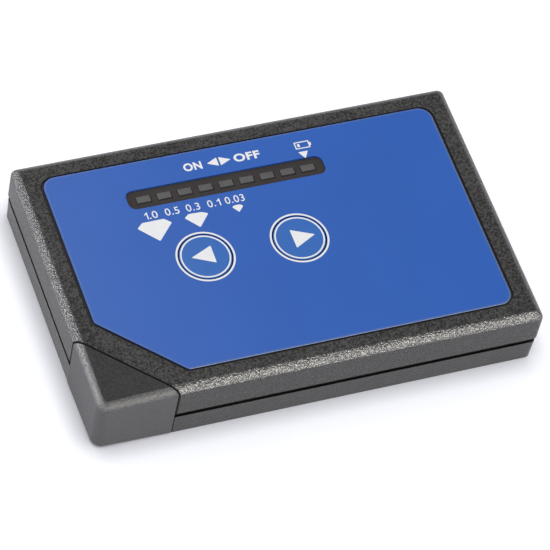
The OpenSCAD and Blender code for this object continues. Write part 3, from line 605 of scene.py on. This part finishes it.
def onFillet(face, height):
    middle = face.calc_center_median()
    reach = max(abs(middle.x) - caseSet["half"][0], abs(middle.y) - caseSet["half"][1])
    low, high = caseSet["filletSlope"]
    return middle.z > height and reach > -caseSet["cornerRound"] and low < face.normal.z < high


def onLip(edge):
    return atHeight(edge, caseSet["faceHeight"]) and not onSeam(edge)


def nearLip(edge):
    middle = edgeMiddle(edge)
    return middle.x * caseSet["recess"][1] + middle.y * caseSet["recess"][0] < 0


def inRecess(face):
    middle = face.calc_center_median()
    inside = abs(middle.x) < caseSet["recess"][0] and abs(middle.y) < caseSet["recess"][1]
    above = middle.z > caseSet["recessHeight"] - caseSet["near"]
    return inside and above and face.normal.z < caseSet["lipSlope"]


def seamFace(face):
    middle = face.calc_center_median()
    atSeam = abs(middle.x + middle.y - caseSet["seamSum"]) < caseSet["seamNear"]
    return atSeam and face.normal.x + face.normal.y < caseSet["seamTurn"]


def frontFinish(face):
    height = face.calc_center_median().z
    low = abs(height - caseSet["recessHeight"]) < caseSet["near"]
    onFloor = low and face.normal.z > caseSet["floorSlope"]
    # the round edges take the painted highlight
    if onFillet(face, caseSet["filletFrom"]):
        return "absSparkEdgePaintedSheen"
    # the recess's lips take painted shade
    if inRecess(face):
        return "absLipPaintedShade"
    if onFloor or seamFace(face):
        return "absRecessPlain"
    # the flat top takes the copy that is painted lighter
    onTop = face.normal.z > caseSet["topSlope"] and height > caseSet["filletFrom"]
    return "absSparkFace" if onTop else "absSparkTexture"


def makeShells(look):
    front = copyNode("front_shell")
    sharpenCorners(front, 0, 0, frontOuter)
    lowerRim(front, look["skirtHeight"], look["lineDrop"])
    count = softenEdges(front, lambda e: onLip(e) and nearLip(e), look["lipCut"], 1, False)
    count += softenEdges(front, lambda e: onLip(e) and not nearLip(e), look["lipRound"], look["steps"])
    count += softenEdges(front, lambda e: onOutside(e) and onSeam(e), look["seamRound"], look["steps"])
    count += softenEdges(
        front, lambda e: onOutside(e) and atHeight(e, look["skirtHeight"] - look["lineDrop"]),
        look["rimRound"], look["steps"],
    )
    front.normal_update()
    frontMaterials = ["absSparkTexture", "absRecessPlain", "absLipPaintedShade", "absSparkEdgePaintedSheen", "absSparkFace"]
    for face in front.faces:
        face.material_index = frontMaterials.index(frontFinish(face))
    edgeLit.objects.link(finishPiece(
        front, "caseFront", "case", frontMaterials, ["front_shell"], True,
    ))
    back = copyNode("back_shell")
    sharpenCorners(back, look["backStandIn"], look["lowRounder"], backOuter)
    lowerRim(back, look["rimHeight"], look["lineDrop"], look["leftDrop"])
    count += softenEdges(back, lambda e: onOutside(e) and onSeam(e), look["seamRound"], look["steps"])
    rims = [look["rimHeight"] - look["lineDrop"], look["rimHeight"] - look["lineDrop"] - look["leftDrop"]]
    count += softenEdges(
        back, lambda e: onOutside(e) and any(atHeight(e, rim) for rim in rims),
        look["rimRound"], look["steps"],
    )
    count += softenEdges(back, underneath, look["backRound"], look["steps"])
    for face in back.faces:
        middle = face.calc_center_median()
        inside = min(look["half"][0] - abs(middle.x), look["half"][1] - abs(middle.y))
        inLine = middle.z > look["rimHeight"] - look["gapDepth"] and inside > look["gapInset"]
        face.material_index = 1 if inLine or seamFace(face) else 0
    edgeLit.objects.link(finishPiece(
        back, "caseBack", "case", ["absSparkTextureLow", "absRecessPlain"], ["back_shell"], True,
    ))
    door = copyNode("battery_door")
    count += softenEdges(door, underneath, look["backRound"], look["steps"])
    finishPiece(door, "slideDoor", "door", ["absSparkTextureLow"], ["battery_door"], True)
    print("shells: rounded", count, "edges")


makeShells(caseSet)

# the corner cap, whose mouth is drawn closer to the seam, with a tiny round that catches light along it
capSet = {
    "mouthSum": -64.174,   # x + y along the mouth's plane, along the step behind it and along the drawn edge
    "stepSum": -64.598,
    "edgeSum": -64.25,
    "turn": -18.25,        # x - y in the middle of the seam, where front half and left half meet
    "cornerSum": -81.75,
    "filletFrom": 12.6,
    "middle": (7, 16),     # heights between which the cap thins towards its corner, and by how much
    "thinTop": 1.1,
    "thinLow": 0.5,
    "thinLeft": 0.22,
    "leftFrom": 40,        # the left side thins from here over this length
    "leftOver": 10,
    "near": 0.02,
    "merge": 0.004,
    "sideSlope": 0.35,     # how upright a normal is at most on the sides, and at least on the left round edge
    "edgeSlope": 0.2,
    "leftTurn": -0.35,
    "round": 0.12,
    "steps": 3,
}


def capFinish(face):
    middle = face.calc_center_median()
    if middle.x + middle.y > capSet["edgeSum"] - capSet["near"]:
        return "absRecessPlain"
    # the top keeps the plain satin; the sides and round edges take copies with painted light
    if not onFillet(face, capSet["filletFrom"]) and face.normal.z >= capSet["sideSlope"]:
        return "absFineTexture"
    onLeft = face.normal.z > capSet["edgeSlope"] and face.normal.x < capSet["leftTurn"]
    return "absFineEdgePaintedHighlight" if onLeft else "absFineSidePaintedSheen"


def makeCap(look):
    cap = copyNode("probe_cap")
    step = [v for v in cap.verts if abs(v.co.x + v.co.y - look["stepSum"]) < look["near"]]
    goals = {}
    for vert in step:
        nextTo = [edge.other_vert(vert).co for edge in vert.link_edges]
        atMouth = any(abs(co.x + co.y - look["mouthSum"]) < look["near"] for co in nextTo)
        goals[vert] = look["mouthSum"] if atMouth else look["edgeSum"]
    for vert, goal in goals.items():
        along = 0 if vert.co.x - vert.co.y > look["turn"] else 1
        vert.co[along] += goal - (vert.co.x + vert.co.y)
    bmesh.ops.remove_doubles(cap, verts=cap.verts, dist=look["merge"])
    middle, top = look["middle"]
    for vert in cap.verts:
        out = (look["edgeSum"] - vert.co.x - vert.co.y) / (look["edgeSum"] - look["cornerSum"])
        share = (vert.co.z - middle) / (top - middle if vert.co.z > middle else middle)
        vert.co.z -= max(out, 0) * share * look["thinTop" if share > 0 else "thinLow"]
        leftShare = min(max((-vert.co.x - look["leftFrom"]) / look["leftOver"], 0), 1)
        vert.co.x += max(out, 0) * look["thinLeft"] * leftShare
    cap.normal_update()
    capMaterials = ["absFineTexture", "absRecessPlain", "absFineSidePaintedSheen", "absFineEdgePaintedHighlight"]
    for face in cap.faces:
        face.material_index = capMaterials.index(capFinish(face))
    softenEdges(
        cap, lambda e: all(abs(v.co.x + v.co.y - look["edgeSum"]) < look["near"] for v in e.verts),
        look["round"], look["steps"],
    )
    edgeLit.objects.link(finishPiece(
        cap, "cornerCap", "cap", capMaterials, ["probe_cap"], True,
    ))


makeCap(capSet)

# blue film on the face, with a fine round along its die-cut rim, painted pale as a highlight along the outer
# rim alone, and painted dark as shade down the cut
filmSet = {
    "top": 15.97,
    "cadTop": 16,
    "near": 0.01,
    "round": 0.16,
    "steps": 3,
    "holeRound": 0.03,
    "holeSteps": 2,
    "margin": 0.26,
    "trimAcross": (0.18, 0.25),    # taken off each side: the film lies close to the far lip
    "trimUpright": (0.06, -0.01),
    "holesAcross": (-29.5, 18.5),
    "holesUpright": (-8, 20.5),
    "slotFar": (17, 0.25),         # the slot's far side, beyond that line, is drawn this much further out
    "flatSlope": 0.999,            # how upright normals are on the flat face, the print and the cut
    "printSlope": 0.95,
    "cutSlope": 0.2,
    "leftTurn": -0.3,
}


def inHoles(place):
    (left, right), (near, far) = filmSet["holesAcross"], filmSet["holesUpright"]
    return left < place.x < right and near < place.y < far


def makeFilm(look):
    film = copyNode("front_label")
    halves = [max(v.co[i] for v in film.verts) for i in (0, 1)]
    trims = (look["trimAcross"], look["trimUpright"])
    for vert in film.verts:
        if vert.co.z > look["cadTop"] - look["near"]:
            vert.co.z = look["top"]
        if inHoles(vert.co):
            vert.co.y += look["slotFar"][1] if vert.co.y > look["slotFar"][0] else 0
        else:
            for i in (0, 1):
                vert.co[i] *= 1 - trims[i][int(vert.co[i] > 0)] / halves[i]
    softenEdges(
        film, lambda e: atHeight(e, look["top"]) and not inHoles(edgeMiddle(e)), look["round"], look["steps"],
    )
    softenEdges(
        film, lambda e: atHeight(e, look["top"]) and inHoles(edgeMiddle(e)),
        look["holeRound"], look["holeSteps"],
    )
    film.normal_update()
    least = look["top"] - look["near"]
    tops = [
        f for f in film.faces
        if f.normal.z > look["flatSlope"] and f.calc_center_median().z > least
    ]
    strip = set(bmesh.ops.inset_region(
        film, faces=tops, thickness=look["margin"], use_boundary=True, use_even_offset=True,
    )["faces"])
    film.normal_update()
    # the cut's round takes a painted highlight, except where it faces left, and its side takes painted shade
    for face in film.faces:
        if face in strip and not inHoles(face.calc_center_median()):
            face.material_index = 3
        elif face.normal.z > look["printSlope"] or inHoles(face.calc_center_median()):
            face.material_index = 0
        elif face.normal.z < look["cutSlope"]:
            face.material_index = 2
        else:
            face.material_index = 3 if face.normal.x < look["leftTurn"] else 1
    finishPiece(
        film, "labelFilm", "case",
        ["polycarbonateFilmSatin", "filmCutPaintedHighlight", "filmCutPaintedShade", "filmMarginSatin"], ["front_label"], True,
    )


makeFilm(filmSet)


# a ring or disc turned round an upright axis from a profile of radius and height
def turnProfile(centre, profile, closed, steps=72):
    shape = bmesh.new()
    verts = [shape.verts.new((centre[0] + r, centre[1], z)) for r, z in profile]
    edges = [shape.edges.new(pair) for pair in zip(verts, verts[1:])]
    if closed:
        edges.append(shape.edges.new((verts[-1], verts[0])))
    bmesh.ops.spin(
        shape, geom=verts + edges, cent=(centre[0], centre[1], 0), axis=(0, 0, 1),
        angle=2 * math.pi, steps=steps, use_merge=True,
    )
    bmesh.ops.remove_doubles(shape, verts=shape.verts, dist=meshSet["merge"])
    bmesh.ops.recalc_face_normals(shape, faces=shape.faces)
    return shape


# film discs on the two keys
discSet = {
    "onCentre": (-16.4, -0.4),
    "offCentre": (4.9, -0.4),
    "radius": 5.7,
    "low": 15.5,
    "top": 15.97,
    "round": 0.08,
    "roundShare": 0.3,
}


def makeKeyDisc(name, centre, body, node, look):
    bend = look["roundShare"] * look["round"]
    profile = [
        (0, look["low"]),
        (look["radius"], look["low"]),
        (look["radius"], look["top"] - look["round"]),
        (look["radius"] - bend, look["top"] - bend),
        (look["radius"] - look["round"], look["top"]),
        (0, look["top"]),
    ]
    disc = turnProfile(centre, profile, False)
    finishPiece(disc, name, body, ["polycarbonateKeySatin"], [node], True)


makeKeyDisc("onKeyDisc", discSet["onCentre"], "on_key", "on_key_face", discSet)
makeKeyDisc("offKeyDisc", discSet["offCentre"], "off_key", "off_key_face", discSet)
print("film cut and laid")

# comb of smoked posts, rounded where they show in the slot; they lean back a little, to where they look right
combSet = {"top": 15.6, "near": 0.01, "lean": 0.2, "round": 0.22, "steps": 3}


def makeComb(look):
    comb = copyNode("light_pipe")
    for vert in comb.verts:
        if vert.co.z > look["top"] - look["near"]:
            vert.co.y += look["lean"]
    softenEdges(comb, lambda e: atHeight(e, look["top"]), look["round"], look["steps"])
    finishPiece(comb, "lightComb", "case", ["smokedAcrylicPolished"], ["light_pipe"], True)


makeComb(combSet)

# white print: heights of the ink's lay, then each mark by its place on the face
inkSet = {
    "low": 15.966,
    "top": 15.985,
    "words": [
        ("ON", (-13.65, -9.5), (21.95, 24.05), 0.035),
        ("OFF", (-2.15, 3.8), (21.95, 24.05), 0.035),
        (".0", (-24.85, -22.95), (11.68, 13.55), 0.004),
        ("0.5", (-21.25, -18.1), (11.68, 13.55), 0.004),
        ("0.3", (-16.52, -13.42), (11.68, 13.55), 0.004),
        ("0.", (-11.65, -9.9), (11.68, 13.55), 0.004),
        ("0.03", (-7.65, -3.3), (11.68, 13.55), 0.004),
    ],
    "marks": [
        [(-8.3, 23.02), (-5.85, 21.9), (-5.85, 24.15)],
        [(-5.38, 21.9), (-2.85, 23.02), (-5.38, 24.15)],
        [(13.3, 19.52), (14.45, 21.42), (12.2, 21.42)],
        [(-24.55, 5.68), (-20.62, 9.8), (-22.05, 11.1), (-26.95, 11.05), (-28.35, 9.82)],
        [(-15, 7.18), (-12.22, 10.3), (-13.5, 10.95), (-16.5, 11.05), (-17.62, 10.2)],
        [(-5.55, 9.08), (-4.18, 10.5), (-4.8, 11.0), (-6.2, 11.0), (-6.68, 10.6)],
    ],
    "ones": [-25.1, -8.72],  # right side of each digit 1, which is drawn here with its flag
    "one": [
        (0, 11.68), (0, 13.55), (-0.2, 13.55), (-0.42, 13.25), (-0.74, 13.05), (-0.74, 12.8), (-0.27, 13.0),
        (-0.27, 11.68),
    ],
    "battery": [  # bars of a plain battery sign: four sides, its stud and one bar of charge
        ((12.0, 15.4), (22.2, 22.45)), ((12.0, 15.4), (23.85, 24.1)), ((12.0, 12.25), (22.45, 23.85)),
        ((15.15, 15.4), (22.45, 23.85)), ((15.4, 15.75), (22.75, 23.55)), ((12.6, 13.15), (22.75, 23.55)),
    ],
    "ring": (6.03, 6.45),
    "keyRing": (5.13, 5.47),
    "onTriangle": [(-19.45, -0.05), (-14.55, -2.45), (-14.5, 2.1)],
    "offTriangle": [(3.5, -2.75), (8.45, -0.25), (3.45, 2.05)],
    "cornerRound": 0.2,
    "fineRound": 0.02,
    "cornerSteps": 3,
    "ringSteps": 96,
    "spacing": 1.08,
    "depth": 0.1,
    "merge": 0.0001,
}


def addShape(target, source):
    mesh = bpy.data.meshes.new("ink")
    source.to_mesh(mesh)
    source.free()
    target.from_mesh(mesh)
    bpy.data.meshes.remove(mesh)


def printMark(target, points, cornerRound, look):
    mark = bmesh.new()
    mark.faces.new([mark.verts.new((x, y, look["low"])) for x, y in points])
    bmesh.ops.bevel(
        mark, geom=list(mark.verts), offset=cornerRound, offset_type="OFFSET",
        affect="VERTICES", segments=look["cornerSteps"], profile=0.5, material=-1,
    )
    raised = bmesh.ops.extrude_face_region(mark, geom=list(mark.faces), use_keep_orig=True)
    tops = [v for v in raised["geom"] if isinstance(v, bmesh.types.BMVert)]
    bmesh.ops.translate(mark, vec=(0, 0, look["top"] - look["low"]), verts=tops)
    bmesh.ops.recalc_face_normals(mark, faces=mark.faces)
    addShape(target, mark)


def printRing(target, centre, radii, look):
    inner, outer = radii
    low, top = look["low"], look["top"]
    profile = [(inner, low), (outer, low), (outer, top), (inner, top)]
    addShape(target, turnProfile(centre, profile, True, look["ringSteps"]))


def printWord(target, words, across, upright, bold, look):
    text = bpy.data.curves.new("word", "FONT")
    text.body = words
    text.offset = bold
    text.space_character = look["spacing"]
    text.extrude = look["depth"]
    holder = bpy.data.objects.new("word", text)
    bpy.context.scene.collection.objects.link(holder)
    bpy.context.view_layer.update()
    mesh = bpy.data.meshes.new_from_object(holder.evaluated_get(bpy.context.evaluated_depsgraph_get()))
    bpy.data.objects.remove(holder)
    bpy.data.curves.remove(text)
    word = bmesh.new()
    word.from_mesh(mesh)
    bpy.data.meshes.remove(mesh)
    bmesh.ops.remove_doubles(word, verts=word.verts, dist=look["merge"])
    lows = [min(v.co[i] for v in word.verts) for i in range(3)]
    highs = [max(v.co[i] for v in word.verts) for i in range(3)]
    bmesh.ops.translate(word, vec=[-x for x in lows], verts=word.verts)
    room = (across[1] - across[0], upright[1] - upright[0], look["top"] - look["low"])
    bmesh.ops.scale(word, vec=[room[i] / (highs[i] - lows[i]) for i in range(3)], verts=word.verts)
    bmesh.ops.translate(word, vec=(across[0], upright[0], look["low"]), verts=word.verts)
    addShape(target, word)


def printFace(look):
    ink = bmesh.new()
    for words, across, upright, bold in look["words"]:
        printWord(ink, words, across, upright, bold, look)
    for points in look["marks"]:
        printMark(ink, points, look["cornerRound"], look)
    for (left, right), (near, far) in look["battery"]:
        printMark(ink, [(left, near), (right, near), (right, far), (left, far)], look["fineRound"], look)
    for side in look["ones"]:
        printMark(ink, [(side + x, y) for x, y in look["one"]], look["fineRound"], look)
    for centre in (discSet["onCentre"], discSet["offCentre"]):
        printRing(ink, centre, look["ring"], look)
    finishPiece(ink, "labelInk", "case", ["screenInkWhite"])
    for name, body, centre, points in (
        ("onKeyInk", "on_key", discSet["onCentre"], look["onTriangle"]),
        ("offKeyInk", "off_key", discSet["offCentre"], look["offTriangle"]),
    ):
        keyInk = bmesh.new()
        printRing(keyInk, centre, look["keyRing"], look)
        printMark(keyInk, points, look["cornerRound"], look)
        finishPiece(keyInk, name, body, ["screenInkWhite"])


printFace(inkSet)
print("face printed")


# a wire wound round an axis; a cone's end radius draws the later turns in
def windCoil(look):
    shape = bmesh.new()
    ring = bmesh.ops.create_circle(shape, segments=look["sides"], radius=look["wire"])["verts"]
    bmesh.ops.rotate(shape, verts=ring, cent=(0, 0, 0), matrix=Matrix.Rotation(math.pi / 2, 3, "X"))
    bmesh.ops.translate(shape, verts=ring, vec=(look["radius"], 0, 0))
    steps = look["turns"] * look["stepsPerTurn"]
    bmesh.ops.spin(
        shape, geom=list(shape.verts) + list(shape.edges), cent=(0, 0, 0), axis=(0, 0, 1),
        dvec=(0, 0, look["length"] / steps), angle=2 * math.pi * look["turns"], steps=steps,
    )
    bmesh.ops.remove_doubles(shape, verts=shape.verts, dist=meshSet["sliver"])
    ends = [e for e in shape.edges if e.is_boundary]
    bmesh.ops.holes_fill(shape, edges=ends, sides=0)
    drawIn = look["radius"] - look["endRadius"]
    for vert in shape.verts:
        share = min(max(vert.co.z / look["length"], 0), 1)
        flat = Vector((vert.co.x, vert.co.y, 0))
        vert.co -= flat.normalized() * drawIn * share
    bmesh.ops.recalc_face_normals(shape, faces=shape.faces)
    return shape


# the probe's frame: inward along the diagonal from the middle of the seam
probeSet = {"seam": (-41, -22.75, 6.6), "inward": (0.70710678, 0.70710678, 0)}
probePlace = Matrix.Translation(probeSet["seam"]) @ (
    Matrix.Rotation(math.radians(45), 4, "Z") @ Matrix.Rotation(math.radians(90), 4, "Y")
)
probeSpringSet = {
    "wire": 0.2, "radius": 1.175, "endRadius": 1.175, "turns": 6, "length": 6.8, "start": -2.4,
    "sides": 12, "stepsPerTurn": 28, "travel": 1.5, "rest": 7.4, "fixedEnd": (-37.7, -19.4, 6.6),
}


def makeProbeSpring(look):
    coil = windCoil(look)
    bmesh.ops.translate(coil, vec=(0, 0, look["start"]), verts=coil.verts)
    bmesh.ops.transform(coil, matrix=probePlace, verts=coil.verts)
    piece = finishPiece(coil, "probeCoil", "case", ["nickelPlateBright"], ["probe_spring"])
    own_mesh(piece)


makeProbeSpring(probeSpringSet)

cellSpringSet = {
    "wire": 0.25, "radius": 3.2, "endRadius": 1.9, "turns": 3, "length": 2.4, "start": -23.5,
    "sides": 12, "stepsPerTurn": 36, "height": 7.9, "at": [(31.15, -90), (42.65, 90)],
}


def makeCellSprings(look):
    both = bmesh.new()
    for across, turn in look["at"]:
        coil = windCoil(look)
        bmesh.ops.translate(coil, vec=(0, 0, look["start"]), verts=coil.verts)
        place = Matrix.Translation((across, 0, look["height"])) @ Matrix.Rotation(math.radians(turn), 4, "X")
        bmesh.ops.transform(coil, matrix=place, verts=coil.verts)
        addShape(both, coil)
    finishPiece(both, "cellSprings", "case", ["nickelPlateBright"], ["battery_springs"])


makeCellSprings(cellSpringSet)

# soft leads inside the case, along the same routes as their solids
leadSet = {
    "radius": 0.5,
    "sides": 3,
    "bendSteps": 8,
    "probe": [
        [(0, y, 8.8), (0, y, 9.7), (-1.45, y, 11.35), (-2.9, y, 13.5), (-2.9, y, 15), (-2.9, y, 16.5)]
        for y in (-0.7, 0.7)
    ],
    "battery": [
        [
            (x, y, 12), (x - 1, y, 12), ((x + 25.6) / 2, y, 12), (25.6, y, 12), (23.7, y - 0.3, 11.75),
            (21.8, y - 1.5, 10.75), (20.3, y - 2.5, 9.5), (18.8, y - 3, 9.5),
        ]
        for x, y in ((31.15, 24.25), (42.65, 25.45))
    ],
}


def makeLeads(name, routes, place, node, look):
    both = bmesh.new()
    for number, route in enumerate(routes):
        line = bpy.data.curves.new("lead", "CURVE")
        line.dimensions = "3D"
        line.bevel_depth = look["radius"]
        line.bevel_resolution = look["sides"]
        line.resolution_u = look["bendSteps"]
        line.use_fill_caps = True
        spline = line.splines.new("BEZIER")
        spline.bezier_points.add(len(route) - 1)
        for knot, point in zip(spline.bezier_points, route):
            knot.co = place @ Vector(point)
            knot.handle_left_type = knot.handle_right_type = "AUTO"
        holder = bpy.data.objects.new("lead", line)
        bpy.context.scene.collection.objects.link(holder)
        bpy.context.view_layer.update()
        mesh = bpy.data.meshes.new_from_object(holder.evaluated_get(bpy.context.evaluated_depsgraph_get()))
        bpy.data.objects.remove(holder)
        bpy.data.curves.remove(line)
        before = len(both.faces)
        both.from_mesh(mesh)
        bpy.data.meshes.remove(mesh)
        both.faces.ensure_lookup_table()
        for face in both.faces[before:]:
            face.material_index = number
    bmesh.ops.remove_doubles(both, verts=both.verts, dist=meshSet["sliver"])
    bmesh.ops.recalc_face_normals(both, faces=both.faces)
    finishPiece(
        both, name, "case", ["vinylInsulationRed", "vinylInsulationBlack"], [node],
    )


makeLeads("probeWires", leadSet["probe"], probePlace, "probe_leads", leadSet)
makeLeads("cellWires", leadSet["battery"], Matrix.Identity(4), "battery_leads", leadSet)
print("springs and leads wound")
